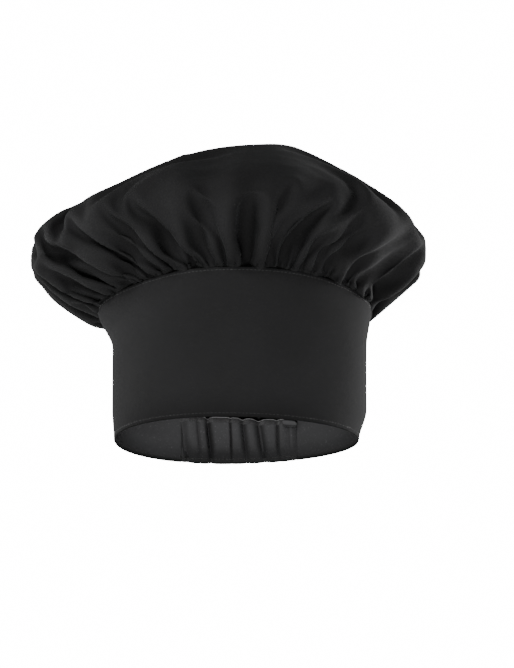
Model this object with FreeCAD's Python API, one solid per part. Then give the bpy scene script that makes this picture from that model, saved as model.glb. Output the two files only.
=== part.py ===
import FreeCAD, Part
import math
import os

# Soft gathered chef hat. Millimetres, +Z up. The hat stands on its rim at z = 0, the origin is the
# centre of the head opening, the front faces -Y and the elastic back faces +Y.

Vector = FreeCAD.Vector

# --- Driving dimensions -------------------------------------------------------------------------
# The band's oval is 500 mm round with the elastic relaxed. The elastic back slides 50 mm rearwards,
# which opens it to 600 mm.
band_half_width = 98.5          # ear to ear
band_half_depth = 58.0
seam_height = 107.2             # crown seam above the rim at the ears
seam_fall = 0.276               # the seam falls this much per mm towards the back
crown_top_height = 241.0

shell_thickness = 0.9
interfacing_thickness = 1.6
seam_allowance_depth = 10.0
lining_thickness = 0.9
crown_thickness = 1.2
layer_gap = 0.1
thread_room = 0.5               # between seam allowance and lining, where threads run
rim_fold = 1.0                  # height of the turned edge at the rim
shell_top_drop = 0.3            # top edges of the band's layers below the seam
lining_top_drop = 1.0

elastic_half_width = 48.0       # half of the gathered back, across
body_gap = 0.4                  # between front band and elastic back
back_clearance = 0.5            # between the back panel's top edge and the crown
gather_count = 6
gather_depth = 3.0
casing_height = 35.0
casing_thickness = 0.8
casing_bottom = 0.5
elastic_thickness = 1.0
elastic_width = 25.0
elastic_bottom = 4.0

thread_radius = 0.18
stitch_length = 2.6
stitch_pitch = 4.2
stitch_margin = 3.0             # rows of stitches from the edges that they hold
overlock_height = 3.5
overlock_count = 44             # on the casing's top edge
casing_stitch_count = 36
thread_slant = 0.008            # lean of the casing's threads, of the gathered back's half width
bartack_rows = 12
bartack_start = 0.955           # across the gathered back, from its middle at 0 to its end at 1
bartack_end = 0.985
tab_length = 13.0
tab_height = 6.0
tab_depth = 2.2
tab_gap = 1.0                   # room for the overlock threads between casing and tab
tab_place = 0.88                # across the gathered back, from its middle at 0 to its end at 1
centre_seam_offset = -6.5       # the closing seam sits a little to one side

# --- Insets of the layers from the band's outside, worked out ------------------------------------
interfacing_outer = shell_thickness + layer_gap
interfacing_inner = interfacing_outer + interfacing_thickness
lining_outer = interfacing_inner + thread_room
lining_inner = lining_outer + lining_thickness
crown_neck_inset = interfacing_outer + layer_gap
allowance_inner = crown_neck_inset + crown_thickness
elastic_outer = shell_thickness + layer_gap
elastic_inner = elastic_outer + elastic_thickness
casing_outer = elastic_inner + layer_gap
back_height = seam_height - seam_fall * band_half_depth - back_clearance
thread_gap = 0.02               # threads lie on the cloth without sinking in
curve_gap = 0.15                # the same for straight threads inside the tight curve at the ears

# Crown sections from neck to top. Each is an oval with its own reach to the four sides. Its height
# is given at the middle, falls towards the back, and sags at the ears by the last value.
neck_width = band_half_width - crown_neck_inset
neck_depth = band_half_depth - crown_neck_inset
#    left, right, front, back, height, fall, ear sag
crown_sections = [
    (neck_width, neck_width, neck_depth, neck_depth, seam_height, seam_fall, 0.0),
    (110.0, 102.0, 66.0, 76.0, 115.5, 0.245, 12.0),
    (132.0, 110.0, 80.0, 102.0, 130.0, 0.205, 16.0),
    (162.0, 145.0, 94.0, 119.0, 149.0, 0.150, 8.0),
    (160.0, 147.0, 92.0, 118.0, 168.0, 0.130, 8.0),
    (128.0, 125.0, 77.0, 101.0, 193.0, 0.100, 11.0),
    (74.0, 80.0, 50.0, 66.0, 220.0, 0.050, 8.0),
    (24.0, 32.0, 20.0, 28.0, crown_top_height, 0.0, 0.0),
]
below_rim = 300.0               # a drop from the seam that is under the whole band
section_points = 32
steps_per_section = 3


# --- Ovals of the band ---------------------------------------------------------------------------
def oval_point(inset, angle, height=0.0):
    """Point of the band's oval, inset from its outside, at an angle from the right ear."""
    x = (band_half_width - inset) * math.cos(angle)
    y = (band_half_depth - inset) * math.sin(angle)
    return Vector(x, y, height)


def oval_normal(inset, angle):
    x = math.cos(angle) / (band_half_width - inset)
    y = math.sin(angle) / (band_half_depth - inset)
    return Vector(x, y, 0).normalize()


def oval_tangent(inset, angle):
    normal = oval_normal(inset, angle)
    return Vector(-normal.y, normal.x, 0)


def oval_prism(inset, bottom, top):
    oval = Part.Ellipse(Vector(0, 0, 0), band_half_width - inset, band_half_depth - inset)
    face = Part.Face(Part.Wire([oval.toShape()]))
    face.translate(Vector(0, 0, bottom))
    return face.extrude(Vector(0, 0, top - bottom))


def oval_wall(outer_inset, inner_inset, bottom, top):
    """Upright wall between two insets."""
    inside = oval_prism(inner_inset, bottom - 1.0, top + 1.0)
    return oval_prism(outer_inset, bottom, top).cut(inside)


def seam_z(y, drop=0.0):
    return seam_height - seam_fall * y - drop


def wedge(low_drop, high_drop):
    """Space between two planes parallel to the seam, each dropped below it."""
    reach = 300.0
    corners = [(-reach, low_drop), (reach, low_drop), (reach, high_drop), (-reach, high_drop)]
    points = [Vector(-reach, y, seam_z(y, drop)) for y, drop in corners]
    face = Part.Face(Part.makePolygon(points + points[:1]))
    return face.extrude(Vector(2 * reach, 0, 0))


def back_space(half_width):
    """Space behind the hat's middle, as wide as the gathered back."""
    return Part.makeBox(2 * half_width, 300.0, 400.0, Vector(-half_width, 0.0, -100.0))


def front_part(shape):
    return shape.cut(back_space(elastic_half_width + body_gap))


# --- Threads ------------------------------------------------------------------------------------
def thread_bar(middle, direction, length):
    start = middle - direction * (length / 2.0)
    return Part.makeCylinder(thread_radius, length, start, direction)


def oval_angles(inset, start, end, pitch):
    """Angles of points about one pitch apart along the oval."""
    angles = []
    angle = start
    while angle < end:
        angles.append(angle)
        normal = oval_normal(inset, angle)
        speed = (band_half_width - inset) * abs(math.sin(angle)) * abs(normal.y)
        speed = speed + (band_half_depth - inset) * abs(math.cos(angle)) * abs(normal.x)
        angle = angle + pitch / speed
    return angles


def front_angles(inset, pitch):
    """Angles round the front band, from one end of the gathered back to the other."""
    end_gap = math.asin((elastic_half_width + body_gap + stitch_pitch) / band_half_width)
    start = math.pi / 2.0 + end_gap
    return oval_angles(inset, start, start + 2.0 * (math.pi - end_gap), pitch)


def stitch_row(inset, height_at, angles, tilt=0.0, length=stitch_length):
    """Threads lying along the oval, each tilted up from it by an angle."""
    bars = []
    for angle in angles:
        middle = oval_point(inset, angle)
        middle.z = height_at(middle.y)
        along = oval_tangent(inset, angle) * math.cos(tilt)
        direction = along + Vector(0, 0, math.sin(tilt))
        bars.append(thread_bar(middle, direction, length))
    return bars


# --- Crown --------------------------------------------------------------------------------------
def crown_point(section, angle):
    left, right, front, back, height, fall, sag = section
    cos_a = math.cos(angle)
    sin_a = math.sin(angle)
    x = (right if cos_a > 0 else left) * cos_a
    y = (back if sin_a > 0 else front) * sin_a
    return Vector(x, y, height - fall * y - sag * cos_a * cos_a)


def smooth_value(before, start, end, after, fraction):
    """Catmull-Rom value between start and end."""
    bend = 2.0 * before - 5.0 * start + 4.0 * end - after
    twist = 3.0 * start - before - 3.0 * end + after
    slope = end - before
    return start + 0.5 * fraction * (slope + fraction * (bend + fraction * twist))


def fine_sections():
    """The crown's sections with smooth ones worked out between them."""
    last = len(crown_sections) - 1
    sections = []
    for index in range(last):
        before = crown_sections[max(index - 1, 0)]
        start = crown_sections[index]
        end = crown_sections[index + 1]
        after = crown_sections[min(index + 2, last)]
        for step in range(steps_per_section):
            fraction = step / steps_per_section
            values = zip(before, start, end, after)
            sections.append(tuple(smooth_value(*four, fraction) for four in values))
    sections.append(crown_sections[last])
    return sections


def crown_grid():
    angles = [2.0 * math.pi * i / section_points for i in range(section_points)]
    return [[crown_point(section, angle) for angle in angles] for section in fine_sections()]


def inset_grid(grid, thickness):
    """The crown's inside: each point moved in along the surface's normal."""
    inner = []
    last = len(grid) - 1
    for row in range(1, last):
        moved = []
        for column, point in enumerate(grid[row]):
            around = grid[row][(column + 1) % section_points] - grid[row][column - 1]
            upward = grid[row + 1][column] - grid[row - 1][column]
            moved.append(point - around.cross(upward).normalize() * thickness)
        inner.append(moved)
    return inner


def flat_section(section, thickness, drop):
    """A level or sloping flat section, drawn in by a thickness and lowered."""
    left, right, front, back, height, fall, sag = section
    reaches = [reach - thickness for reach in (left, right, front, back)]
    angles = [2.0 * math.pi * i / section_points for i in range(section_points)]
    lowered = (*reaches, height - drop, fall, sag)
    return [crown_point(lowered, angle) for angle in angles]


def closed_curve(points):
    curve = Part.BSplineCurve()
    curve.interpolate(Points=points, PeriodicFlag=True)
    return Part.Wire([curve.toShape()])


def build_crown_panel():
    """Hollow crown. Its edge turns down inside the front band as the seam allowance."""
    neck_section = crown_sections[0]
    edge = flat_section(neck_section, 0.0, seam_allowance_depth)
    outer = [edge] + crown_grid()
    below_edge = flat_section(neck_section, crown_thickness, seam_allowance_depth + 3.0)
    neck = flat_section(neck_section, crown_thickness, 0.0)
    top = flat_section(crown_sections[-1], crown_thickness, crown_thickness)
    inner = [below_edge, neck] + inset_grid(crown_grid(), crown_thickness) + [top]
    body = Part.makeLoft([closed_curve(points) for points in outer], True, True)
    hollow = Part.makeLoft([closed_curve(points) for points in inner], True, True)
    back_notch = back_space(elastic_half_width + body_gap).common(wedge(below_rim, 0.0))
    return body.cut(hollow).cut(back_notch)


# --- Front band ---------------------------------------------------------------------------------
def build_band_shell():
    wall = oval_wall(0.0, shell_thickness, 0.0, crown_top_height).common(wedge(below_rim, shell_top_drop))
    fold = oval_wall(0.0, lining_inner, 0.0, rim_fold)
    return front_part(wall.fuse(fold).removeSplitter())


def build_band_interfacing():
    bottom = rim_fold + layer_gap
    wall = oval_wall(interfacing_outer, interfacing_inner, bottom, crown_top_height)
    return front_part(wall.common(wedge(below_rim, seam_allowance_depth + 1.0)))


def build_band_lining():
    wall = oval_wall(lining_outer, lining_inner, rim_fold + layer_gap, crown_top_height)
    return front_part(wall.common(wedge(below_rim, lining_top_drop)))


def two_sided_row(height_at):
    """Needle thread outside the band and bobbin thread inside it."""
    outside = -thread_radius - thread_gap
    inside = lining_inner + thread_radius + thread_gap
    bars = []
    for inset in (outside, inside):
        bars = bars + stitch_row(inset, height_at, front_angles(inset, stitch_pitch))
    return Part.makeCompound(bars)


def build_crown_seam_stitches():
    return two_sided_row(lambda y: seam_z(y, stitch_margin))


def build_rim_topstitch():
    return two_sided_row(lambda y: stitch_margin)


def build_gathering_thread():
    inset = allowance_inner + thread_radius + curve_gap
    angles = front_angles(inset, 2.0 * stitch_pitch)
    middle_drop = seam_allowance_depth / 2.0
    return Part.makeCompound(stitch_row(inset, lambda y: seam_z(y, middle_drop), angles, 0.0, 5.0))


def build_crown_seam_overlock():
    inset = allowance_inner + thread_radius + curve_gap
    angles = front_angles(inset, stitch_pitch)
    low_drop = seam_allowance_depth - 2.0
    return Part.makeCompound(stitch_row(inset, lambda y: seam_z(y, low_drop), angles, 1.0, 3.2))


# --- Elastic back -------------------------------------------------------------------------------
def back_angle(across):
    """Angle of the oval for a place across the gathered back, from -1 at its left to 1."""
    return math.pi / 2.0 - across * math.asin(elastic_half_width / band_half_width)


def gather_wave(across):
    """Height of the gathers across the back, 0 at the ends and in the valleys."""
    return gather_depth * (0.5 - 0.5 * math.cos(math.pi * gather_count * (across + 1.0)))


def gathered_outline(inset, wave_side):
    """Curve across the back that waves to one side of an inset."""
    count = gather_count * 8
    points = []
    for step in range(count + 1):
        across = -1.0 + 2.0 * step / count
        angle = back_angle(across)
        swell = oval_normal(inset, angle) * (wave_side * gather_wave(across))
        points.append(oval_point(inset, angle) + swell)
    curve = Part.BSplineCurve()
    curve.interpolate(Points=points)
    return curve.toShape(), points[0], points[-1]


def gathered_strip(outer_inset, inner_inset, wave_side, bottom, top):
    """Upright strip of gathered cloth between two insets."""
    outer, outer_start, outer_end = gathered_outline(outer_inset, wave_side)
    inner, inner_start, inner_end = gathered_outline(inner_inset, wave_side)
    first = Part.makeLine(outer_start, inner_start)
    last = Part.makeLine(inner_end, outer_end)
    wire = Part.Wire(Part.sortEdges([outer, last, inner, first])[0])
    face = Part.Face(wire)
    face.translate(Vector(0, 0, bottom))
    strip = face.extrude(Vector(0, 0, top - bottom))
    return strip.common(back_space(elastic_half_width))


def build_back_panel():
    return gathered_strip(0.0, shell_thickness, 1.0, 0.0, back_height)


def build_elastic_casing():
    outer = casing_outer
    inner = casing_outer + casing_thickness
    return gathered_strip(outer, inner, -1.0, casing_bottom, casing_height)


def build_elastic_strip():
    wall = oval_wall(elastic_outer, elastic_inner, elastic_bottom, elastic_bottom + elastic_width)
    return wall.common(back_space(elastic_half_width - 1.0))


def casing_face_point(across, height, lift):
    """Point just inside the casing's inner face, following its gathers."""
    inset = casing_outer + casing_thickness
    angle = back_angle(across)
    reach = gather_wave(across) + lift
    point = oval_point(inset, angle) - oval_normal(inset, angle) * reach
    point.z = height
    return point


def casing_threads(count, low, high):
    """Threads on the casing's inner face between two heights, slanted across it."""
    bars = []
    lift = thread_radius + 0.4
    for step in range(count):
        across = -0.95 + 1.9 * (step + 0.5) / count
        start = casing_face_point(across - thread_slant, low, lift)
        end = casing_face_point(across + thread_slant, high, lift)
        bars.append(thread_bar((start + end) * 0.5, (end - start).normalize(), (end - start).Length))
    return Part.makeCompound(bars)


def build_casing_overlock():
    top = casing_height - 0.5
    return casing_threads(overlock_count, top - overlock_height, top)


def build_casing_rim_stitches():
    return casing_threads(casing_stitch_count, stitch_margin, stitch_margin)


def build_casing_end_tab():
    """Folded end of the casing strip: a soft flat roll with a fold line down its middle."""
    angle = back_angle(tab_place)
    inset = casing_outer + casing_thickness + gather_depth + tab_gap + tab_depth
    outward = oval_normal(inset, angle)
    middle = oval_point(inset, angle, casing_height - tab_height - 1.0)
    tab = Part.makeBox(tab_length, tab_depth, tab_height, Vector(-tab_length / 2.0, 0, 0))
    tab = tab.makeFillet(0.9, tab.Edges)
    tab.rotate(Vector(0, 0, 0), Vector(0, 0, 1), math.degrees(math.atan2(outward.y, outward.x)) - 90.0)
    tab.translate(middle)
    return tab


def back_face_point(across, height):
    """Point where the middle of a thread lies on the back panel's outer face."""
    angle = back_angle(across)
    lift = gather_wave(across) + thread_radius + curve_gap
    return oval_point(0.0, angle, height) + oval_normal(0.0, angle) * lift


def build_elastic_bartacks():
    """Dense bars of zigzag thread outside the back panel, over each end of the elastic."""
    bars = []
    for side in (-1.0, 1.0):
        for row in range(bartack_rows):
            height = elastic_bottom + elastic_width * (row + 0.5) / bartack_rows
            start = back_face_point(side * bartack_start, height)
            end = back_face_point(side * bartack_end, height)
            direction = (end - start).normalize()
            bars.append(thread_bar((start + end) * 0.5, direction, (end - start).Length))
    return Part.makeCompound(bars)


def build_centre_back_seam():
    """Upright row of stitches in the valley of the closing seam, outside the back panel."""
    across = centre_seam_offset / elastic_half_width
    angle = back_angle(across)
    lift = gather_wave(across) + thread_radius + 0.3
    base = oval_point(0.0, angle) + oval_normal(0.0, angle) * lift
    bars = []
    height = stitch_margin
    while height < back_height - stitch_margin:
        bars.append(thread_bar(base + Vector(0, 0, height), Vector(0, 0, 1), stitch_length))
        height = height + stitch_pitch
    return Part.makeCompound(bars)


builders = {
    "crown_panel": build_crown_panel,
    "band_shell": build_band_shell,
    "band_interfacing": build_band_interfacing,
    "band_lining": build_band_lining,
    "crown_seam_stitches": build_crown_seam_stitches,
    "gathering_thread": build_gathering_thread,
    "crown_seam_overlock": build_crown_seam_overlock,
    "rim_topstitch": build_rim_topstitch,
    "back_panel": build_back_panel,
    "elastic_casing": build_elastic_casing,
    "elastic_strip": build_elastic_strip,
    "casing_overlock": build_casing_overlock,
    "casing_end_tab": build_casing_end_tab,
    "casing_rim_stitches": build_casing_rim_stitches,
    "elastic_bartacks": build_elastic_bartacks,
    "centre_back_seam": build_centre_back_seam,
}

os.makedirs("parts", exist_ok=True)
for name, build in builders.items():
    shape = build()
    box = shape.BoundBox
    print(name, shape.isValid(), len(shape.Solids), round(shape.Volume, 1),
          [round(value, 1) for value in (box.XMin, box.XMax, box.YMin, box.YMax, box.ZMin, box.ZMax)])
    shape.exportStep("parts/" + name + ".step")
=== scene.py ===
import math

import bmesh
import bpy
import numpy as np
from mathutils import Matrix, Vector
from mathutils.geometry import delaunay_2d_cdt


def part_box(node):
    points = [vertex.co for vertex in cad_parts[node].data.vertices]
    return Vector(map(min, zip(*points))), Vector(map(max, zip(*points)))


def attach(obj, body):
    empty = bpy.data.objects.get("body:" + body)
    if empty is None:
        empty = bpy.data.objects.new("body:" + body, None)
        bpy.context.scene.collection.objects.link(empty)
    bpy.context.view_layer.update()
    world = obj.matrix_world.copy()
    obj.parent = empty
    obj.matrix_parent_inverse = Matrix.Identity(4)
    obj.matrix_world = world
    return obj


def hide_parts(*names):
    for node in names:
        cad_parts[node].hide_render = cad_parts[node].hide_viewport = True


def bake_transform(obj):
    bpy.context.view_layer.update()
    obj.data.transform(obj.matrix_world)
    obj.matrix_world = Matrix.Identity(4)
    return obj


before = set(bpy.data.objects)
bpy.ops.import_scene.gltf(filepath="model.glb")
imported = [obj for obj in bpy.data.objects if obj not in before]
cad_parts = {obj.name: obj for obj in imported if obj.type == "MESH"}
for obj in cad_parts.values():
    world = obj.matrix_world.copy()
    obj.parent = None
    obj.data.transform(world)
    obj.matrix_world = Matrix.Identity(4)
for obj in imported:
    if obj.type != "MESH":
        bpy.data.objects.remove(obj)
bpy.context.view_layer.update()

# Soft black chef hat: a gathered crown on a plain band with an elastic back.
# Metres, front towards -Y.

# --- Sizes, from the frame -----------------------------------------------------------------------
shell_low, shell_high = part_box("band_shell")
back_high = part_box("back_panel")[1]
casing_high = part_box("elastic_casing")[1]
elastic_low, elastic_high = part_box("elastic_strip")
crown_low, crown_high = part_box("crown_panel")

half_width = shell_high.x
half_depth = -shell_low.y
front_height = shell_high.z
back_half = back_high.x
back_height = back_high.z
casing_height = casing_high.z
crown_top = crown_high.z

seam_fall = 0.276               # the crown seam falls this much per metre towards the back
ear_height = front_height - seam_fall * half_depth
seam_inset = 0.0011             # the crown's edge inside the band's outside
allowance_depth = 0.009
interfacing_inset = 0.0018
lining_inset = 0.0036
cloth_thickness = 0.0005
interfacing_thickness = 0.0009
elastic_thickness = 0.0007
back_gap = 0.0004
seam_lap = 0.0030               # the front's cloths lap over the ends of the gathered back

egg_share = 0.11                # the opening is this much shallower at its right end
egg_height = 0.085              # and straight from this height up
taper_height = 0.026            # the band's bottom corners draw in below this height
right_taper = 0.058
left_taper = 0.018
left_flare = (0.012, 0.42)      # how far the band's top is pulled out, and over what turn
right_flare = (0.0035, 0.40)
flare_height = 0.034
pinched_share = 0.35            # of the layers' spread, at the pressed rim
pinched_height = 0.020

rng = np.random.default_rng(7)

# --- Numbers -------------------------------------------------------------------------------------


def smooth(value):
    value = np.clip(value, 0.0, 1.0)
    return value * value * (3.0 - 2.0 * value)


def bump(distance, width):
    return np.exp(-(distance / width) ** 2)


def turn_from(angle, middle):
    """Signed turn from a middle angle, from -pi to pi."""
    return np.angle(np.exp(1j * (angle - middle)))


# --- Band ovals ----------------------------------------------------------------------------------


def worn(points):
    """The rim's opening is egg-shaped and draws in at its ends. The band is straight higher up."""
    low = 1.0 - smooth(points[..., 2] / egg_height)
    squeeze = 1.0 - egg_share * low * points[..., 0] / half_width
    rim = 1.0 - smooth(points[..., 2] / taper_height)
    side = (points[..., 0] / half_width) ** 2
    taper = 1.0 - rim * side * np.where(points[..., 0] > 0, right_taper, left_taper)
    return points * np.stack([taper, squeeze, np.ones_like(squeeze)], -1)


def seam_z(y, drop=0.0):
    return ear_height - seam_fall * y - drop


def oval_normal(angle):
    normal = np.stack([np.cos(angle) / half_width, np.sin(angle) / half_depth, 0.0 * angle], -1)
    return normal / np.linalg.norm(normal, axis=-1, keepdims=True)


def band_flare(angle):
    """How far the crown's puff pulls the band's top edge outwards."""
    left = left_flare[0] * bump(turn_from(angle, math.pi), left_flare[1])
    right = right_flare[0] * bump(turn_from(angle, 0.0), right_flare[1])
    return left + right


def rim_pinch(height):
    """The layers lie closer together near the pressed rim."""
    return pinched_share + (1.0 - pinched_share) * smooth(height / pinched_height)


def band_point(angle, inset, height):
    """Point of the worn-in band: an oval with a flared top and gentle uneven places."""
    angle, inset, height = np.broadcast_arrays(np.asarray(angle, float), inset, height)
    x = half_width * np.cos(angle)
    y = half_depth * np.sin(angle)
    top = seam_z(y)
    near_top = smooth(1.0 - (top - height) / flare_height) ** 1.3
    uneven = 0.0007 * np.sin(3.0 * angle + 0.6 + 14.0 * height)
    uneven = uneven + 0.0004 * np.sin(7.0 * angle - 30.0 * height)
    away_from_rim = smooth(height / 0.03)
    swell = band_flare(angle) * near_top + uneven * away_from_rim - inset * rim_pinch(height)
    return np.stack([x, y, height], -1) + oval_normal(angle) * swell[..., None]


def front_angles(count, lap=0.0):
    """Angles from one end of the gathered back, round the front, to the other, with a lap."""
    end = math.asin((back_half + back_gap - lap) / half_width)
    return np.linspace(math.pi / 2 + end, 5 * math.pi / 2 - end, count)


# --- Meshes --------------------------------------------------------------------------------------


def grid_object(name, points, flat, closed=False):
    """Sheet object from rows of points, with its cloth coordinates in metres as a UV map."""
    rows, columns = points.shape[:2]
    index = np.arange(rows * columns).reshape(rows, columns)
    if closed:
        index = np.concatenate([index, index[:, :1]], axis=1)
        flat = np.concatenate([flat, flat[:, :1]], axis=1)
    quads = np.stack([index[:-1, :-1], index[:-1, 1:], index[1:, 1:], index[1:, :-1]], -1)
    mesh = bpy.data.meshes.new(name)
    mesh.from_pydata(points.reshape(-1, 3).tolist(), [], quads.reshape(-1, 4).tolist())
    corners = np.stack([flat[:-1, :-1], flat[:-1, 1:], flat[1:, 1:], flat[1:, :-1]], 2)
    mesh.uv_layers.new(name="cloth").data.foreach_set("uv", corners.reshape(-1).astype(np.float32))
    mesh.shade_smooth()
    thing = bpy.data.objects.new(name, mesh)
    bpy.context.collection.objects.link(thing)
    return thing


def apply_modifiers(thing):
    graph = bpy.context.evaluated_depsgraph_get()
    mesh = bpy.data.meshes.new_from_object(thing.evaluated_get(graph))
    thing.modifiers.clear()
    thing.data = mesh


def thicken(thing, thickness):
    """Turns a sheet into closed cloth of a thickness."""
    solid = thing.modifiers.new("thickness", "SOLIDIFY")
    solid.thickness = thickness
    solid.offset = 0.0
    solid.use_even_offset = False
    apply_modifiers(thing)
    thing.data.shade_smooth()


def ring_normals(points):
    """Normals of rows of points that each go all the way round."""
    around = np.roll(points, -1, axis=1) - np.roll(points, 1, axis=1)
    upward = np.gradient(points, axis=0)
    normal = np.cross(around, upward)
    return normal / np.maximum(np.linalg.norm(normal, axis=-1, keepdims=True), 1e-12)


# --- Materials -----------------------------------------------------------------------------------


class Nodes:
    """Short way to add and join shader nodes."""

    def __init__(self, material):
        material.use_nodes = True
        self.tree = material.node_tree
        self.tree.nodes.clear()

    def add(self, kind, inputs=None, **values):
        node = self.tree.nodes.new(kind)
        for name, value in values.items():
            setattr(node, name, value)
        for name, value in (inputs or {}).items():
            node.inputs[name].default_value = value
        return node

    def join(self, source, output, target, socket):
        self.tree.links.new(source.outputs[output], target.inputs[socket])

    def noise(self, place, output, scale, detail):
        node = self.add("ShaderNodeTexNoise", {"Scale": scale, "Detail": detail})
        self.join(place, output, node, "Vector")
        return node

    def mix(self, factor_node, factor_output, first, second, blend="MIX"):
        node = self.add("ShaderNodeMix", data_type="RGBA", blend_type=blend)
        if isinstance(factor_node, float):
            node.inputs[0].default_value = factor_node
        else:
            self.join(factor_node, factor_output, node, 0)
        for slot, value in ((6, first), (7, second)):
            if isinstance(value, tuple):
                node.inputs[slot].default_value = value
            else:
                self.tree.links.new(value.outputs[2], node.inputs[slot])
        return node


def grey(value, blue=1.0):
    return (value, value, value * blue, 1.0)


def surface_material(name, settings):
    """New material with one principled surface, and the short way to add to it."""
    material = bpy.data.materials.new(name)
    nodes = Nodes(material)
    output = nodes.add("ShaderNodeOutputMaterial")
    surface = nodes.add("ShaderNodeBsdfPrincipled", settings)
    nodes.join(surface, "BSDF", output, "Surface")
    return material, nodes, surface


def cloth_material(name, dark, light, weave_pitch, weave_depth, crumple_depth, sheen, lint=0.35):
    """Twill: diagonal ribs along the cloth's own grain, slack unevenness and a little lint.

    Deep hollows get painted shade: an ambient-occlusion node darkens the base colour where the
    cloth is closed in."""
    material, nodes, surface = surface_material(name, {
        "Roughness": 0.88, "Specular IOR Level": 0.12, "Sheen Weight": sheen,
        "Sheen Roughness": 0.45, "Sheen Tint": (0.85, 0.87, 0.9, 1.0)})

    grain = nodes.add("ShaderNodeUVMap", uv_map="cloth")
    place = nodes.add("ShaderNodeTexCoord")
    diagonal = nodes.add("ShaderNodeMapping", {"Rotation": (0.0, 0.0, math.radians(58.0))})
    nodes.join(grain, "UV", diagonal, "Vector")
    rib = nodes.add("ShaderNodeTexWave",
                    {"Scale": 0.314 / weave_pitch, "Distortion": 0.6, "Detail": 1.0},
                    bands_direction="X")
    nodes.join(diagonal, "Vector", rib, "Vector")
    yarn = nodes.noise(grain, "UV", 0.9 / weave_pitch, 2.0)
    slack = nodes.noise(place, "Object", 55.0, 4.0)
    patches = nodes.noise(place, "Object", 14.0, 5.0)
    fluff = nodes.noise(place, "Object", 900.0, 1.0)
    specks = nodes.add("ShaderNodeValToRGB")
    specks.color_ramp.elements[0].position = 0.66
    specks.color_ramp.elements[1].position = 0.80
    specks.color_ramp.elements[1].color = (lint, lint, lint, 1.0)
    nodes.join(fluff, "Fac", specks, "Fac")

    patch_range = nodes.add("ShaderNodeMapRange", {"From Min": 0.3, "From Max": 0.7})
    nodes.join(patches, "Fac", patch_range, "Value")
    cloth = nodes.mix(patch_range, "Result", grey(dark, 1.02), grey(light, 1.04))
    ribs = nodes.mix(rib, "Fac", grey(0.72), grey(1.15))
    ribbed = nodes.mix(0.8, None, cloth, ribs, "MULTIPLY")
    lighter = nodes.mix(specks, "Color", ribbed, grey(light * 2.2, 1.05))
    # Painted shade: the ambient-occlusion value darkens the cloth's colour in hollows and between
    # close folds.
    openness = nodes.add("ShaderNodeAmbientOcclusion", {"Distance": 0.026}, samples=6)
    painted_hollow_shade = nodes.add("ShaderNodeMapRange", {"From Min": 0.25, "From Max": 0.95, "To Min": 0.12})
    nodes.join(openness, "AO", painted_hollow_shade, "Value")
    shaded = nodes.add("ShaderNodeVectorMath", operation="SCALE")
    nodes.join(lighter, 2, shaded, 0)
    nodes.join(painted_hollow_shade, "Result", shaded, "Scale")
    nodes.join(shaded, "Vector", surface, "Base Color")

    weave = nodes.add("ShaderNodeMath", operation="ADD")
    nodes.join(rib, "Fac", weave, 0)
    nodes.join(yarn, "Fac", weave, 1)
    fine = nodes.add("ShaderNodeBump", {"Distance": weave_depth, "Strength": 0.8})
    nodes.join(weave, "Value", fine, "Height")
    broad = nodes.add("ShaderNodeBump", {"Distance": crumple_depth, "Strength": 0.7})
    nodes.join(slack, "Fac", broad, "Height")
    nodes.join(broad, "Normal", fine, "Normal")
    nodes.join(fine, "Normal", surface, "Normal")
    return material


def thread_material(name, shade):
    """Twisted polyester thread: fine turns and a soft shine."""
    material, nodes, surface = surface_material(name, {
        "Roughness": 0.55, "Specular IOR Level": 0.4, "Sheen Weight": 0.15})
    place = nodes.add("ShaderNodeTexCoord")
    twist = nodes.add("ShaderNodeTexWave", {"Scale": 700.0, "Distortion": 1.0},
                      bands_direction="DIAGONAL")
    nodes.join(place, "Object", twist, "Vector")
    colour = nodes.mix(twist, "Fac", grey(shade * 0.6), grey(shade * 1.3, 1.03))
    nodes.join(colour, 2, surface, "Base Color")
    turns = nodes.add("ShaderNodeBump", {"Distance": 0.0001})
    nodes.join(twist, "Fac", turns, "Height")
    nodes.join(turns, "Normal", surface, "Normal")
    return material


# Name, darkest and lightest shade, weave's pitch and depth, crumple's depth, sheen, and lint.
crown_cloth = cloth_material("crown twill", 0.0040, 0.0062, 0.0006, 0.00008, 0.0010, 0.012)
band_cloth = cloth_material("band twill", 0.0050, 0.0068, 0.0006, 0.00008, 0.0004, 0.012)
lining_cloth = cloth_material("lining twill", 0.036, 0.053, 0.0007, 0.00010, 0.0005, 0.02, 0.8)
# The folded end is the lining cloth painted lighter: a painted highlight where the fold catches
# light.
lit_tab_lining = cloth_material("folded lining", 0.042, 0.058, 0.0007, 0.00010, 0.0005, 0.02, 0.8)
stiffener_cloth = cloth_material("stiffener", 0.020, 0.030, 0.0011, 0.00010, 0.0004, 0.10)
elastic_cloth = cloth_material("knitted elastic", 0.016, 0.026, 0.0012, 0.00025, 0.0003, 0.10)
dark_thread = thread_material("black thread", 0.006)
overlock_thread = thread_material("charcoal thread", 0.040)
edge_thread = thread_material("grey thread", 0.110)


# --- Crown ---------------------------------------------------------------------------------------
# Sections above the neck, as parts of the crown's reach to the left, right, front and back, and of
# its top height. The last two values are the fall towards the back and the sag at the ears.
crown_sections = [
    (0.667, 0.683, 0.695, 0.630, 0.479, 0.245, 0.050),
    (0.775, 0.695, 0.842, 0.845, 0.539, 0.205, 0.066),
    (0.982, 0.955, 0.989, 0.986, 0.618, 0.150, 0.033),
    (0.970, 0.972, 0.955, 0.978, 0.697, 0.130, 0.033),
    (0.715, 0.800, 0.785, 0.837, 0.801, 0.100, 0.046),
    (0.405, 0.570, 0.480, 0.547, 0.913, 0.050, 0.033),
    (0.160, 0.235, 0.195, 0.232, 0.994, 0.000, 0.000),
    (0.000, 0.000, 0.000, 0.000, 1.000, 0.000, 0.000),
]
crown_columns = 480
crown_rows = 110
allowance_rises = (-0.040, -0.020)  # rings of the seam allowance, below the seam
net_pitch = 0.0026              # between the points of the crown's net
cut_share = 0.97                # its width low on the crown, against a flat disc
cut_growth = 0.03               # and how much wider it is high up
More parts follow.
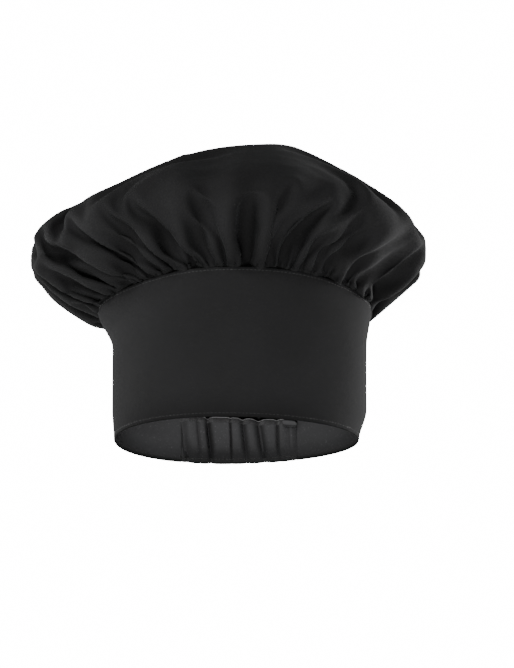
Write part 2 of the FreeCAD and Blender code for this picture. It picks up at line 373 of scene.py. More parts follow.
soft_hold = 0.3                 # how firmly the puffed shape holds the cloth
settle_frames = 14
settle_gravity = 0.0            # the puff stands up to the cloth's small weight
settled_passes = 30             # of ironing once the cloth has settled
pressed_passes = 20             # and once more after its folds are pressed
pressed_again = 0.50            # share of each main fold's depth, pressed after the cloth settles
corner_turn = 0.75              # where the crown's low back quarters are drawn in
corner_spread = 0.50
corner_squeeze = 0.11
settle_settings = {
    "quality": 6,
    "mass": 0.0012,
    "air_damping": 1.0,
    "tension_stiffness": 15.0,
    "compression_stiffness": 15.0,
    "shear_stiffness": 5.0,
    "bending_stiffness": 1000.0,
    "tension_damping": 5.0,
    "compression_damping": 5.0,
    "shear_damping": 5.0,
    "bending_damping": 0.5,
    "use_pressure": True,
    "uniform_pressure_force": 0.2,
}

view_rise = math.radians(19.1)  # the hat is seen from this far below its rim
view_up = np.array([0.0, -math.sin(view_rise), math.cos(view_rise)])
view_ahead = np.array([0.0, math.cos(view_rise), math.sin(view_rise)])


def crown_section_curve(section, angle):
    left, right, front, back, height, fall, sag = section
    cosine = np.cos(angle)
    sine = np.sin(angle)
    low = smooth((0.74 - height) / 0.15)
    corner = bump(turn_from(angle, corner_turn), corner_spread)
    corner = corner + 0.8 * bump(turn_from(angle, math.pi - corner_turn), corner_spread)
    squeeze = 1.0 - corner_squeeze * corner * low
    cosine, sine = cosine * squeeze, sine * squeeze
    x = np.where(cosine > 0, right * crown_high.x, -left * crown_low.x) * cosine
    y = np.where(sine > 0, back * crown_high.y, -front * crown_low.y) * sine
    z = height * crown_top - fall * y - sag * crown_top * cosine ** 2
    return np.stack([x, y, z], -1)


def crown_base(angle):
    """Smooth crown without folds, rows from the seam up, evenly spaced along the cloth."""
    neck = band_point(angle, seam_inset, seam_z(half_depth * np.sin(angle)))
    curves = [neck] + [crown_section_curve(section, angle) for section in crown_sections]
    curves = [2 * curves[0] - curves[1]] + curves + [curves[-1]]
    steps = np.linspace(0, 1, 16, endpoint=False)[:, None, None]
    rows = []
    for before, start, end, after in zip(curves, curves[1:], curves[2:], curves[3:]):
        bend = 2 * before - 5 * start + 4 * end - after
        twist = 3 * start - before - 3 * end + after
        rows.append(start + 0.5 * steps * ((end - before) + steps * (bend + steps * twist)))
    dense = np.concatenate(rows + [curves[-1][None]])
    spans = np.linalg.norm(np.diff(dense, axis=0), axis=-1)
    along = np.concatenate([np.zeros((1, len(angle))), np.cumsum(spans, axis=0)])
    wanted = np.linspace(0, 1, crown_rows) ** 1.12
    even = np.empty((crown_rows, len(angle), 3))
    for column in range(len(angle)):
        place = wanted * along[-1, column]
        for axis in range(3):
            even[:, column, axis] = np.interp(place, along[:, column], dense[:, column, axis])
    return even, wanted


def seen_places(points):
    """Across and up, as the hat is seen from the front and below."""
    return np.stack([points[..., 0], points @ view_up], -1)


def line_distance(places, line):
    """Distance of each place from a line of points, and how far along the line it is, 0 to 1."""
    line = np.array(line)
    lengths = np.linalg.norm(np.diff(line, axis=0), axis=1)
    reached = np.concatenate([[0.0], np.cumsum(lengths)])
    nearest = np.full(places.shape[:-1], np.inf)
    along = np.zeros(places.shape[:-1])
    for start, end, length, before in zip(line, line[1:], lengths, reached):
        direction = (end - start) / length
        offset = places - start
        travel = np.clip(offset @ direction, 0.0, length)
        distance = np.linalg.norm(offset - travel[..., None] * direction, axis=-1)
        closer = distance < nearest
        nearest = np.where(closer, distance, nearest)
        along = np.where(closer, (before + travel) / reached[-1], along)
    return nearest, along


# Folds of the crown's front, each a line across and up from the seam, with its depth in metres and
# its width at both ends.
front_folds = [
    ([(-0.083, 0.124), (-0.087, 0.151), (-0.086, 0.180)], 0.0096, 0.0070, 0.0150),
    ([(-0.050, 0.133), (-0.056, 0.157), (-0.060, 0.188)], 0.0084, 0.0050, 0.0110),
    ([(-0.034, 0.134), (-0.032, 0.153), (-0.027, 0.185), (-0.020, 0.224)],
     0.0090, 0.0050, 0.0150),
    ([(0.007, 0.136), (0.005, 0.157), (0.007, 0.178), (0.011, 0.194), (0.025, 0.205)],
     0.0114, 0.0050, 0.0110),
    ([(0.030, 0.140), (0.045, 0.165), (0.062, 0.190)], 0.0084, 0.0080, 0.0180),
    ([(0.070, 0.126), (0.066, 0.143), (0.056, 0.163)], 0.0060, 0.0045, 0.0090),
    ([(0.087, 0.124), (0.090, 0.153), (0.094, 0.180)], 0.0096, 0.0055, 0.0120),
    ([(0.142, 0.153), (0.122, 0.138), (0.110, 0.122)], 0.0066, 0.0120, 0.0150),
    ([(-0.168, 0.148), (-0.140, 0.143), (-0.111, 0.151)], 0.0096, 0.0060, 0.0080),
    ([(-0.155, 0.164), (-0.132, 0.166), (-0.118, 0.155)], 0.0054, 0.0050, 0.0060),
    ([(-0.150, 0.128), (-0.128, 0.126), (-0.108, 0.133)], 0.0036, 0.0045, 0.0050),
]
# Soft raised folds between them.
front_ridges = [
    ([(0.035, 0.228), (0.032, 0.207), (0.022, 0.175)], 0.006, 0.0070, 0.0080),
    ([(0.098, 0.185), (0.138, 0.164)], 0.006, 0.0070, 0.0080),
    ([(-0.070, 0.136), (-0.072, 0.170)], 0.006, 0.0070, 0.0120),
    ([(-0.108, 0.150), (-0.112, 0.184)], 0.005, 0.0100, 0.0140),
]


def net_normals(points, triangles):
    """Normals of a net's points, from the triangles around them."""
    corners = points[triangles]
    faces = np.cross(corners[:, 1] - corners[:, 0], corners[:, 2] - corners[:, 0])
    normal = np.zeros_like(points)
    for corner in range(3):
        np.add.at(normal, triangles[:, corner], faces)
    return normal / np.maximum(np.linalg.norm(normal, axis=-1, keepdims=True), 1e-12)


def press_lines(points, lines, normals, strength):
    """Moves the crown's front in along lines, or out where the strength is below 0."""
    for line, depth, start_width, end_width in lines:
        normal = normals(points)
        facing = smooth((0.40 - normal @ view_ahead) / 0.5)
        distance, along = line_distance(seen_places(points), line)
        width = start_width + (end_width - start_width) * along
        fade = (0.30 + 0.70 * smooth(along / 0.30)) * (1.0 - 0.75 * smooth((along - 0.5) / 0.5))
        pressed = bump(distance, width) - 0.30 * bump(distance - 1.9 * width, 0.9 * width)
        points = points - normal * (strength * depth * fade * pressed * facing)[..., None]
    return points


def pleat(phase):
    """Gathered cloth across its folds: round ridges and pinched valleys, from -1 to 1."""
    return 2.0 * np.abs(np.cos(phase / 2.0)) ** 0.8 - 1.0


def crown_gathers(angle, rise):
    """Fine pleats at the seam that join into fewer, wider ones above it."""
    drift = 0.030 * np.sin(5 * angle + 1.0) + 0.022 * np.sin(11 * angle + 2.0)
    drift = drift + 0.012 * np.sin(23 * angle)
    turned = angle + drift
    strength = 0.75 + 0.25 * np.sin(9 * angle + 0.7)
    fine = 0.0013 * pleat(76 * turned) * bump(rise - 0.020, 0.045)
    middle = 0.0026 * pleat(36 * turned + 0.8 * np.sin(4 * angle)) * bump(rise - 0.085, 0.085)
    broad = 0.0034 * pleat(17 * turned + 1.5 * np.sin(3 * angle)) * bump(rise - 0.22, 0.17)
    return (fine + (middle + broad) * strength) * smooth(rise / 0.02)


def back_folds(angle, rise):
    """Uneven folds of the half that the front view doesn't show."""
    depth = np.zeros(np.broadcast(angle, rise).shape)
    for middle in np.linspace(0.05, 0.95, 15) * math.pi:
        lean = rng.uniform(-0.35, 0.35)
        length = rng.uniform(0.22, 0.50)
        strength = rng.uniform(0.004, 0.010)
        path = middle + rng.uniform(-0.07, 0.07) + lean * rise
        width = 0.030 + 0.16 * rise
        fade = smooth(rise / 0.03) * (1.0 - smooth((rise - 0.4 * length) / (0.8 * length)))
        depth = depth - strength * fade * bump(turn_from(angle, path), width)
    return depth


def cut_plan(points):
    """The crown laid flat: the length of each column, and its turn by its share of the seam."""
    lengths = np.linalg.norm(np.diff(points, axis=0), axis=-1).sum(axis=0)
    spans = np.linalg.norm(np.roll(points[0], -1, axis=0) - points[0], axis=1)
    turns = 2 * math.pi * (np.cumsum(spans) - spans[0]) / spans.sum()
    return lengths, turns


def cut_net(lengths, turns):
    """Evenly spread points of the flat cut as (across, up, column, rise), with their triangles."""
    columns = np.arange(crown_columns)
    rings = []
    for rise in allowance_rises + (0.0,):
        reach = lengths * (1.0 - rise)
        flat = np.stack([reach * np.cos(turns), reach * np.sin(turns)], -1)
        rings.append(np.column_stack([flat, columns, np.full(crown_columns, rise)]))
    count = int(lengths.max() / net_pitch) + 2
    side, up = np.meshgrid(np.arange(-count, count + 1), np.arange(-count, count + 1))
    x = (side + 0.5 * (up % 2)) * net_pitch
    y = up * net_pitch * math.sqrt(0.75)
    turn = np.arctan2(y, x) % (2 * math.pi)
    column = np.interp(turn, np.append(turns, 2 * math.pi), np.arange(crown_columns + 1))
    reach = np.interp(column, np.arange(crown_columns + 1), np.append(lengths, lengths[0]))
    rise = 1.0 - np.hypot(x, y) / reach
    inside = rise > 0.75 * net_pitch / reach
    lattice = np.column_stack([x[inside], y[inside], column[inside], rise[inside]])
    net = np.concatenate(rings + [lattice])
    flat_points = [Vector(point) for point in net[:, :2]]
    result = delaunay_2d_cdt(flat_points, [], [], 0, 1e-7)
    return net, np.array(result[2])


def sample(grid, rows, rise, column):
    """Point of a grid of rows at a rise between its rows and a place between its columns."""
    row = np.interp(rise, rows, np.arange(len(rows)))
    low = np.minimum(row.astype(int), len(rows) - 2)
    left = np.floor(column).astype(int)
    right = (left + 1) % grid.shape[1]
    up = (row - low)[:, None]
    over = (column - left)[:, None]
    left = left % grid.shape[1]
    near = grid[low, left] * (1 - over) + grid[low, right] * over
    far = grid[low + 1, left] * (1 - over) + grid[low + 1, right] * over
    return near * (1 - up) + far * up


def cut_lengths(net):
    """The cut as a shallow dome, so that the cloth is as wide as its puffed shape higher up."""
    rise = np.clip(net[:, 3], 0.0, 1.0)
    steps = np.linspace(0, 1, 200)
    share = cut_share + cut_growth * smooth((steps - 0.45) / 0.35)
    reach = (1.0 - steps) * share
    climb = np.sqrt(np.maximum(np.diff(steps) ** 2 - np.diff(reach) ** 2, 0.0))
    height = np.concatenate([[0.0], np.cumsum(climb)])
    length = np.linalg.norm(net[:, :2], axis=1) / np.maximum(1.0 - net[:, 3], 1e-6)
    scale = np.interp(rise, steps, share)
    up = length * np.interp(rise, steps, height)
    return np.column_stack([net[:, 0] * scale, net[:, 1] * scale, up])


def settle_crown(points, net, triangles):
    """Lets the gathered cloth buckle and settle, held by its seam and puffed by air."""
    mesh = bpy.data.meshes.new("settling")
    mesh.from_pydata(points.tolist(), [], triangles.tolist())
    piece = bpy.data.objects.new("settling", mesh)
    bpy.context.collection.objects.link(piece)
    cut = cut_lengths(net)
    piece.shape_key_add(name="Basis")
    cut_key = piece.shape_key_add(name="cut")
    cut_key.data.foreach_set("co", cut.reshape(-1).astype(np.float32))
    cut_key.value = 0.0
    held = piece.vertex_groups.new(name="held")
    held.add(np.nonzero(net[:, 3] <= 0.0)[0].tolist(), 1.0, "REPLACE")
    held.add(np.nonzero(net[:, 3] > 0.0)[0].tolist(), soft_hold, "REPLACE")
    # A weld that joins nothing makes Blender hand the cut's lengths on to the cloth.
    piece.modifiers.new("weld", "WELD").merge_threshold = 1e-9
    cloth = piece.modifiers.new("cloth", "CLOTH")
    settings = cloth.settings
    settings.rest_shape_key = cut_key
    settings.vertex_group_mass = "held"
    for name, value in settle_settings.items():
        setattr(settings, name, value)
    settings.effector_weights.gravity = settle_gravity
    cloth.collision_settings.use_collision = False
    cloth.point_cache.frame_start = 1
    cloth.point_cache.frame_end = settle_frames
    scene = bpy.context.scene
    for frame_number in range(1, settle_frames + 1):
        scene.frame_set(frame_number)
    result = piece.evaluated_get(bpy.context.evaluated_depsgraph_get()).data
    settled = np.empty(len(net) * 3, np.float32)
    result.vertices.foreach_get("co", settled)
    scene.frame_set(1)
    bpy.data.objects.remove(piece)
    return settled.reshape(points.shape).astype(float)


def crown_start():
    """The crown's net before it settles: smooth shape, gathers and folds."""
    angle = np.linspace(0, 2 * math.pi, crown_columns, endpoint=False)
    points, rise = crown_base(angle)
    lengths, turns = cut_plan(points)
    net, triangles = cut_net(lengths, turns)
    rows = rise[:, None]
    around = angle[None, :]
    normal = ring_normals(points)
    swell = crown_gathers(around, rows) + back_folds(around, rows)
    swell = swell * (1.0 - smooth((rows - 0.85) / 0.15))
    points = points + normal * swell[..., None]
    points = press_lines(points, front_folds, ring_normals, 1.0)
    points = press_lines(points, front_ridges, ring_normals, -1.0)
    start = sample(points, rise, net[:, 3], net[:, 2])
    for rise_below in allowance_rises:
        ring = net[:, 3] == rise_below
        around = angle[net[ring, 2].astype(int)]
        drop = -rise_below / allowance_rises[0] * allowance_depth
        height = seam_z(half_depth * np.sin(around)) + drop
        start[ring] = band_point(around, seam_inset + 0.0004, height)
    return start, net, triangles


def iron(points, net, triangles, passes):
    """Evens out small wrinkles: most at the crown's middle, some over its right front corner, and
    a little everywhere above the seam."""
    edges = np.concatenate([triangles[:, :2], triangles[:, 1:], triangles[:, ::2]])
    edges = np.concatenate([edges, edges[:, ::-1]])
    count = np.bincount(edges[:, 0], minlength=len(points))[:, None]
    rise = net[:, 3:]
    corner = bump(turn_from(net[:, 2:3] / crown_columns * 2 * math.pi, -0.50), 0.32)
    corner = corner * smooth((rise - 0.02) / 0.05) * (1.0 - smooth((rise - 0.30) / 0.15))
    share = smooth((rise - 0.80) / 0.16) + 0.035 * smooth((rise - 0.01) / 0.04) + 0.3 * corner
    share = np.minimum(share, 1.0)
    for _ in range(passes):
        sums = [np.bincount(edges[:, 0], points[edges[:, 1], axis], len(points))
                for axis in range(3)]
        points = points + (np.stack(sums, -1) / count - points) * share
    return points


def crown_details(points, net, triangles):
    """Presses the main folds into the settled cloth again and keeps its front above the seam."""
    def normals(places):
        return net_normals(places, triangles)

    points = press_lines(points, front_folds, normals, pressed_again)
    points = iron(points, net, triangles, pressed_passes)
    rise = net[:, 3]
    angle = net[:, 2] / crown_columns * 2 * math.pi
    front = smooth((0.9 - np.abs(turn_from(angle, -math.pi / 2))) / 0.3)
    sunk = np.maximum(seam_z(points[:, 1]) + 0.0006 - points[:, 2], 0.0)
    points[:, 2] += np.where(rise > 0.0, sunk * front, 0.0)
    return points


def make_crown():
    points, net, triangles = crown_start()
    points = settle_crown(points, net, triangles)
    points = iron(points, net, triangles, settled_passes)
    points = crown_details(points, net, triangles)
    mesh = bpy.data.meshes.new("crown")
    mesh.from_pydata(points.tolist(), [], triangles.tolist())
    corners = net[triangles.reshape(-1), :2]
    mesh.uv_layers.new(name="cloth").data.foreach_set("uv", corners.reshape(-1).astype(np.float32))
    mesh.shade_smooth()
    crown = bpy.data.objects.new("crown", mesh)
    bpy.context.collection.objects.link(crown)
    thicken(crown, cloth_thickness)
    finish_cloth(crown, crown_cloth, "crown_cloth", "crown_panel")
    bend_with_back(crown)


def wear_in(piece):
    vertices = piece.data.vertices
    places = np.empty(len(vertices) * 3, np.float32)
    vertices.foreach_get("co", places)
    shaped = worn(places.reshape(-1, 3).astype(float))
    vertices.foreach_set("co", shaped.reshape(-1).astype(np.float32))
    piece.data.update()


def finish_cloth(piece, material, slot, *nodes):
    piece.data.materials.clear()
    piece.data.materials.append(material)
    wear_in(piece)
    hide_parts(*nodes)


def bend_with_back(piece):
    """Bakes the piece's placement into its mesh, so that it stays where it is."""
    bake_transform(piece)


# --- Band ----------------------------------------------------------------------------------------


def front_sheet(name, bottom_turn, top_turn, rows):
    """Upright sheet round the front. A turn lists insets and heights from the rim or seam."""
    angle = front_angles(300, seam_lap)
    top = seam_z(half_depth * np.sin(angle))
    lines = [(inset, np.full_like(top, height)) for inset, height in bottom_turn]
    low_inset, low = lines[-1]
    high_inset, high = top_turn[0][0], top - top_turn[0][1]
    for part in np.linspace(0, 1, rows)[1:-1]:
        lines.append((low_inset + (high_inset - low_inset) * part, low + (high - low) * part))
    lines = lines + [(inset, top - drop) for inset, drop in top_turn]
    points = np.stack([band_point(angle, inset, height) for inset, height in lines])
    around = np.cumsum(np.linalg.norm(np.diff(points[10], axis=0, prepend=points[10][:1]), axis=1))
    up = np.cumsum(np.linalg.norm(np.diff(points, axis=0, prepend=points[:1]), axis=2), axis=0)
    flat = np.stack([np.broadcast_to(around, up.shape), up], -1)
    return grid_object(name, points, flat)


def make_band():
    bottom = [(0.0036, 0.0020), (0.0033, 0.0009), (0.0024, 0.0004), (0.0012, 0.0003),
              (0.0004, 0.0008), (0.0002, 0.0020)]
    top = [(0.0001, 0.0022), (0.0000, 0.0012), (0.0003, 0.0004), (0.0007, 0.0001),
           (0.0009, 0.0012)]
    band = front_sheet("band", bottom, top, 60)
    thicken(band, cloth_thickness)
    finish_cloth(band, band_cloth, "band_cloth", "band_shell")
    bend_with_back(band)


def make_lining():
    lining = front_sheet("band_lining", [(lining_inset + 0.0004, 0.0012)],
                         [(lining_inset, 0.0020)], 40)
    thicken(lining, cloth_thickness)
    finish_cloth(lining, lining_cloth, "lining_cloth", "band_lining")
    bend_with_back(lining)


def make_interfacing():
    stiffener = front_sheet("band_interfacing", [(interfacing_inset, 0.0016)],
                            [(interfacing_inset + 0.0005, 0.0110)], 40)
    thicken(stiffener, interfacing_thickness)
    finish_cloth(stiffener, stiffener_cloth, "stiffener", "band_interfacing")
    bend_with_back(stiffener)


# --- Elastic back --------------------------------------------------------------------------------
gather_swell_top = 0.0058
casing_inset = 0.0025
closing_place = -0.0056         # where the closing seam meets the rim, and its lean
closing_lean = 0.04
# Valleys of the gathers across the back: place at the rim, lean to the left per metre of height,
# depth and width, in metres.
gathers = [(-0.0394, 0.29, 0.0062, 0.0036), (-0.0209, 0.11, 0.0060, 0.0021),
           (closing_place, closing_lean, 0.0022, 0.0009), (0.0060, 0.10, 0.0046, 0.0024),
           (0.0195, 0.14, 0.0064, 0.0030), (0.0310, 0.03, 0.0030, 0.0016),
           (-0.0300, 0.10, 0.0016, 0.0016), (0.0400, 0.05, 0.0024, 0.0030)]


def back_angle(across):
    return math.pi / 2 - across * math.asin(back_half / half_width)


def gather_swell(across, height):
    """Swell of the gathered cloth: broad soft ridges that meet in narrow leaning valleys."""
    place = across * back_half
    swell = np.full(np.broadcast(across, height).shape, gather_swell_top)
    for middle, lean, depth, width in gathers:
        valley = middle - lean * np.minimum(height, casing_height)
        swell = swell - depth * np.exp(-np.abs((place - valley) / width) ** 1.6)
    flat = 0.30 + 0.70 * smooth(height / 0.012)
    return np.maximum(swell, 0.0002) * smooth((1.0 - np.abs(across)) / 0.16) * flat


def panel_top(across):
    return np.full_like(across, back_height)


def casing_top(across):
    """The casing's top edge sinks towards the right, where its strip ends."""
    return casing_height - 0.0032 * smooth((across + 0.3) / 1.1)


def back_place(across, height, reach):
    """Point of the gathered back, moved out from the band's oval by a reach."""
    angle = back_angle(across)
    x = half_width * np.cos(angle)
    y = half_depth * np.sin(angle)
    return np.stack([x, y, height], -1) + oval_normal(angle) * reach[..., None]


def gathered_sheet(name, inset, side, bottom, top, rows):
    """Gathered upright sheet at the back, swelling outwards (side 1) or inwards (side -1).

    Returns the sheet and the width of its flat cloth."""
    across, part = np.meshgrid(np.linspace(-1, 1, 320), np.linspace(0, 1, rows))
    height = bottom + (top(across) - bottom) * part
    tucked = 0.0012 * smooth((np.abs(across) - 0.90) / 0.05) * (side > 0)
    reach = gather_swell(across, height) * side - inset * rim_pinch(height) - tucked
    points = back_place(across, height, reach)
    width = float(np.linalg.norm(np.diff(points[rows // 2], axis=0), axis=-1).sum())
    flat = np.stack([across * width / 2, height], -1)
    return grid_object(name, points, flat), width


def make_back_panel():
    panel, width = gathered_sheet("back_panel", 0.0004, 1.0, 0.0006, panel_top, 60)
    thicken(panel, cloth_thickness)
    finish_cloth(panel, band_cloth, "band_cloth", "back_panel")
    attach(panel, "elastic_back")


def make_casing():
    casing, width = gathered_sheet("elastic_casing", casing_inset, -1.0, 0.0003, casing_top, 36)
    thicken(casing, cloth_thickness)
    finish_cloth(casing, lining_cloth, "lining_cloth", "elastic_casing")
    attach(casing, "elastic_back")


def make_elastic():
    across = np.linspace(-0.97, 0.97, 360)[None, :]
    height = np.linspace(elastic_low.z, elastic_high.z, 26)[:, None]
    angle = back_angle(across) + 0.0 * height
    inset = 0.0015 + 0.00018 * np.sin(across * 150.0) + 0.0 * height
    points = np.stack([half_width * np.cos(angle), half_depth * np.sin(angle),
                       height + 0.0 * across], -1) - oval_normal(angle) * inset[..., None]
    flat = np.stack([across * back_half + 0.0 * height, height + 0.0 * across], -1)
    elastic = grid_object("elastic", points, flat)
    thicken(elastic, elastic_thickness)
    finish_cloth(elastic, elastic_cloth, "elastic", "elastic_strip")
    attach(elastic, "elastic_back")


# --- Threads -------------------------------------------------------------------------------------


def thread_object(name, middles, directions, length, radius):
    """One mesh of short rounded threads, each along its direction."""
    profile = [(-0.5, 0.0), (-0.47, 0.55), (-0.38, 0.95), (0.0, 1.0), (0.38, 0.95), (0.47, 0.55),
               (0.5, 0.0)]
    sides = 6
    turn = np.linspace(0, 2 * math.pi, sides, endpoint=False)
    vertices = []
    faces = []
    for middle, direction in zip(middles, directions):
        direction = direction / np.linalg.norm(direction)
        across = np.cross(direction, [0.31, 0.17, 0.93])
        across = across / np.linalg.norm(across)
        third = np.cross(direction, across)
        first = len(vertices)
        for along, wide in profile:
            centre = middle + direction * (along * length)
            for side in turn:
                reach = across * math.cos(side) + third * math.sin(side)
                vertices.append(centre + reach * max(wide, 0.05) * radius)
        for ring in range(len(profile) - 1):
            for side in range(sides):
                low = first + ring * sides
                after = (side + 1) % sides
                faces.append((low + side, low + after, low + sides + after, low + sides + side))
        faces.append(tuple(first + side for side in reversed(range(sides))))
        last = first + (len(profile) - 1) * sides
        faces.append(tuple(last + side for side in range(sides)))
    mesh = bpy.data.meshes.new(name)
    mesh.from_pydata([tuple(vertex) for vertex in vertices], [], faces)
    mesh.shade_smooth()
    thing = bpy.data.objects.new(name, mesh)
    bpy.context.collection.objects.link(thing)
    return thing


def front_row(drop_from_seam, height, inset, pitch, tilt=0.0):
    """Middles and directions of a row of stitches round the front."""
    angle = front_angles(1600)
    y = half_depth * np.sin(angle)
    z = seam_z(y, drop_from_seam) if height is None else np.full_like(y, height)
    line = band_point(angle, inset, z)
    reached = np.cumsum(np.linalg.norm(np.diff(line, axis=0, prepend=line[:1]), axis=1))
    wanted = np.arange(pitch, reached[-1] - pitch, pitch)
    middles = np.stack([np.interp(wanted, reached, line[:, axis]) for axis in range(3)], -1)
    ahead = np.stack([np.interp(wanted + 0.001, reached, line[:, axis]) for axis in range(3)], -1)
    directions = ahead - middles
    directions[:, 2] += tilt * 0.001
    return middles, directions


def finish_thread(piece, material, node):
    piece.data.materials.append(material)
    wear_in(piece)
    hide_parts(node)


def make_front_threads():
    radius = 0.00022
    rows = [
        ("crown_seam_stitches", 0.0028, None, 0.0, 0.0030, 0.0024, 0.0),
        ("rim_topstitch", 0.0, 0.0030, 0.0, 0.0030, 0.0024, 0.0),
        ("gathering_thread", 0.0050, None, seam_inset + 0.0012, 0.0080, 0.0050, 0.0),
        ("crown_seam_overlock", 0.0080, None, seam_inset + 0.0012, 0.0018, 0.0034, 1.4),
    ]
    for name, drop, height, inset, pitch, length, tilt in rows:
        middles, directions = front_row(drop, height, inset, pitch, tilt)
        if inset == 0.0:
            inside = front_row(drop, height, lining_inset + 0.0005, pitch, tilt)
            middles = np.concatenate([middles, inside[0]])
            directions = np.concatenate([directions, inside[1]])
        row = thread_object(name + "_thread", middles, directions, length, radius)
        finish_thread(row, dark_thread, name)
        bend_with_back(row)


def casing_face(across, height, lift):
    """Point on the casing's inner face."""
    height = height + 0.0 * across
    reach = -gather_swell(across, height) - casing_inset * rim_pinch(height) - lift
    return back_place(across, height, reach)


def back_thread(name, middles, directions, length, radius, material, node):
    row = thread_object(name, middles, directions, length, radius)
    finish_thread(row, material, node)
    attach(row, "elastic_back")


def make_back_threads():
    across = np.linspace(-0.98, 0.96, 120)
    top = casing_top(across)
    low = casing_face(across - 0.010, top - 0.0034, 0.0005)
    high = casing_face(across + 0.010, top + 0.0002, 0.0006)
    back_thread("overlock", (low + high) / 2, high - low, 0.0038, 0.00020,
                overlock_thread, "casing_overlock")
    across = np.linspace(-0.985, 0.97, 70)
    edge = casing_face(across, casing_top(across) + 0.0004, 0.0007)
    back_thread("overlock_edge", edge, np.gradient(edge, axis=0), 0.0020, 0.00034,
                edge_thread, "casing_overlock")

    across = np.linspace(-0.94, 0.94, 34)
    row = casing_face(across, 0.0030, 0.0003)
    back_thread("casing_stitches", row, np.gradient(row, axis=0), 0.0022, 0.0002,
                dark_thread, "casing_rim_stitches")

    middles = []
    directions = []
    for end in (-0.86, 0.86):
        for height in np.linspace(elastic_low.z, elastic_high.z, 26):
            place = np.array([end - 0.012, end + 0.012])
            tall = np.full(2, height)
            start, stop = back_place(place, tall, gather_swell(place, tall) + 0.0001)
            middles.append((start + stop) / 2)
            directions.append(stop - start + np.array([0.0, 0.0, 0.0003]))
    back_thread("bartacks", middles, directions, 0.0020, 0.0002,
                dark_thread, "elastic_bartacks")

    height = np.arange(0.003, back_height - 0.003, 0.0030)
    place = (closing_place - closing_lean * np.minimum(height, casing_height)) / back_half
    line = back_place(place, height, gather_swell(place, height) + 0.0002)
    back_thread("closing_stitches", line, np.gradient(line, axis=0), 0.0024, 0.0002,
                dark_thread, "centre_back_seam")


def make_tab():
    """The casing strip's folded end, a small soft roll of cloth."""
    low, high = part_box("casing_end_tab")
    centre = (low + high) / 2 - Vector((0.0, 0.0, 0.0022))
    angle = math.atan2(centre.y / half_depth, centre.x / half_width)
    outward = oval_normal(np.array(angle))
    along = np.array([outward[1], -outward[0], 0.0])
    turns = np.linspace(0, 2 * math.pi, 25)[:-1]
    lengths = np.linspace(-1, 1, 22)
    points = []
    for place in lengths:
        round_end = math.sqrt(max(1.0 - abs(place) ** 5, 0.02))
        height = 0.0029 * round_end * np.sin(turns)
        fold = 0.0007 * np.cos(3 * turns + 2.0) * round_end
        depth = 0.0009 * round_end * np.cos(turns) + fold
        middle = np.array(centre) + along * (place * 0.0062) + np.array([0, 0, -0.0012 * place])
        ring = middle + outward * depth[:, None] + np.array([0.0, 0.0, 1.0]) * height[:, None]
        points.append(ring)
    points = np.array(points)
    flat = np.stack(np.meshgrid(turns * 0.0015, lengths * 0.0065), -1)
    tab = grid_object("casing_tab", points, flat, True)
    close_ends(tab)
    tab.modifiers.new("smoothing", "SUBSURF").levels = 1
    apply_modifiers(tab)
    tab.data.shade_smooth()
    # The tab's lighter lining colour is a painted highlight.
    finish_cloth(tab, lit_tab_lining, "lining_cloth", "casing_end_tab")
    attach(tab, "elastic_back")


def close_ends(thing):
    shape = bmesh.new()
    shape.from_mesh(thing.data)
    bmesh.ops.holes_fill(shape, edges=shape.edges, sides=0)
    bmesh.ops.recalc_face_normals(shape, faces=shape.faces)
    shape.to_mesh(thing.data)
    shape.free()


# --- Stage, light and camera ---------------------------------------------------------------------


floor_reach = 30.0
white_seen = 16.0               # the backdrop's strength as the camera sees it
white_light = 0.25              # and as it lights the hat
lens_length = 500.0
seen_height = 0.5166            # of the picture, at the hat
aim_right = 0.0139
aim_up = 0.0824
# Name, place, aim, size and power.
lights = [
    ("key", (-1.0, -1.1, 1.0), (0.0, 0.0, 0.15), 0.7, 42.0),
    ("right", (1.5, 0.5, 0.3), (0.0, 0.0, 0.10), 0.8, 62.0),
    ("left", (-1.5, 0.5, 0.2), (0.0, 0.0, 0.10), 0.8, 25.0),
    ("low", (-0.12, -1.05, -0.95), (0.0, 0.03, 0.03), 0.45, 34.0),
]


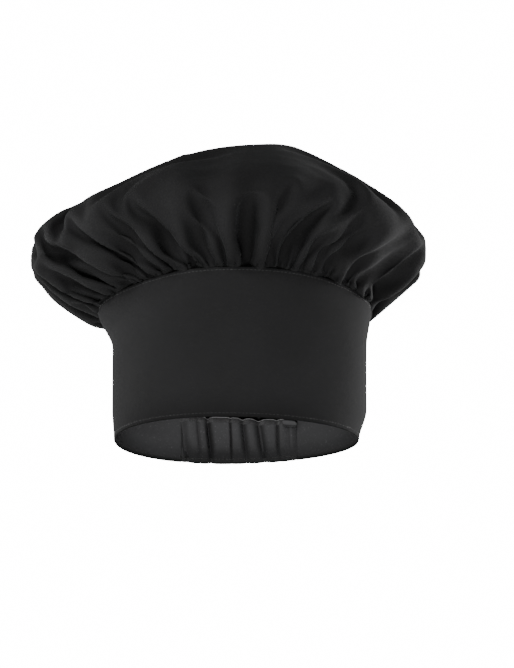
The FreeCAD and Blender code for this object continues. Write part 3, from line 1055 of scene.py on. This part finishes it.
def make_floor():
    """Pale floor that is see-through from below, so that the hat shows from under its rim."""
    size = floor_reach
    mesh = bpy.data.meshes.new("floor")
    corners = [(-size, -size, 0), (size, -size, 0), (size, size, 0), (-size, size, 0)]
    mesh.from_pydata(corners, [], [(0, 1, 2, 3)])
    floor = bpy.data.objects.new("floor", mesh)
    floor.location.z = -0.0004
    bpy.context.collection.objects.link(floor)
    material = bpy.data.materials.new("floor")
    nodes = Nodes(material)
    output = nodes.add("ShaderNodeOutputMaterial")
    paint = nodes.add("ShaderNodeBsdfDiffuse")
    paint.inputs["Color"].default_value = (0.80, 0.80, 0.80, 1.0)
    clear = nodes.add("ShaderNodeBsdfTransparent")
    side = nodes.add("ShaderNodeNewGeometry")
    ray = nodes.add("ShaderNodeLightPath")
    either = nodes.add("ShaderNodeMath", operation="MAXIMUM")
    nodes.join(side, "Backfacing", either, 0)
    nodes.join(ray, "Is Shadow Ray", either, 1)
    mixed = nodes.add("ShaderNodeMixShader")
    nodes.join(either, "Value", mixed, "Fac")
    nodes.join(paint, "BSDF", mixed, 1)
    nodes.join(clear, "BSDF", mixed, 2)
    nodes.join(mixed, "Shader", output, "Surface")
    mesh.materials.append(material)


def make_world():
    world = bpy.data.worlds.new("studio")
    bpy.context.scene.world = world
    world.use_nodes = True
    tree = world.node_tree
    tree.nodes.clear()
    output = tree.nodes.new("ShaderNodeOutputWorld")
    seen = tree.nodes.new("ShaderNodeBackground")
    seen.inputs["Strength"].default_value = white_seen
    soft = tree.nodes.new("ShaderNodeBackground")
    soft.inputs["Strength"].default_value = white_light
    for background in (seen, soft):
        background.inputs["Color"].default_value = (1.0, 1.0, 1.0, 1.0)
    ray = tree.nodes.new("ShaderNodeLightPath")
    mixed = tree.nodes.new("ShaderNodeMixShader")
    tree.links.new(ray.outputs["Is Camera Ray"], mixed.inputs["Fac"])
    tree.links.new(soft.outputs["Background"], mixed.inputs[1])
    tree.links.new(seen.outputs["Background"], mixed.inputs[2])
    tree.links.new(mixed.outputs["Shader"], output.inputs["Surface"])


def make_light(name, place, aim, size, power):
    light = bpy.data.lights.new(name, "AREA")
    light.shape = "DISK"
    light.size = size
    light.energy = power
    thing = bpy.data.objects.new(name, light)
    thing.location = place
    direction = Vector(aim) - Vector(place)
    thing.rotation_mode = "QUATERNION"
    thing.rotation_quaternion = direction.to_track_quat("-Z", "Y")
    bpy.context.collection.objects.link(thing)


def make_camera():
    """Long lens below the rim, aimed a little to the right of the hat and under its crown."""
    data = bpy.data.cameras.new("camera")
    data.lens = lens_length
    distance = data.lens * seen_height / data.sensor_width
    aim = np.array([aim_right, 0.0, 0.0]) + view_up * aim_up
    camera = bpy.data.objects.new("camera", data)
    camera.location = aim - view_ahead * distance
    camera.rotation_mode = "QUATERNION"
    camera.rotation_quaternion = Vector(view_ahead).to_track_quat("-Z", "Y")
    bpy.context.collection.objects.link(camera)
    bpy.context.scene.camera = camera


make_camera()
make_crown()
make_band()
make_lining()
make_interfacing()
make_back_panel()
make_casing()
make_elastic()
make_front_threads()
make_back_threads()
make_tab()
make_floor()
make_world()
for light in lights:
    make_light(*light)
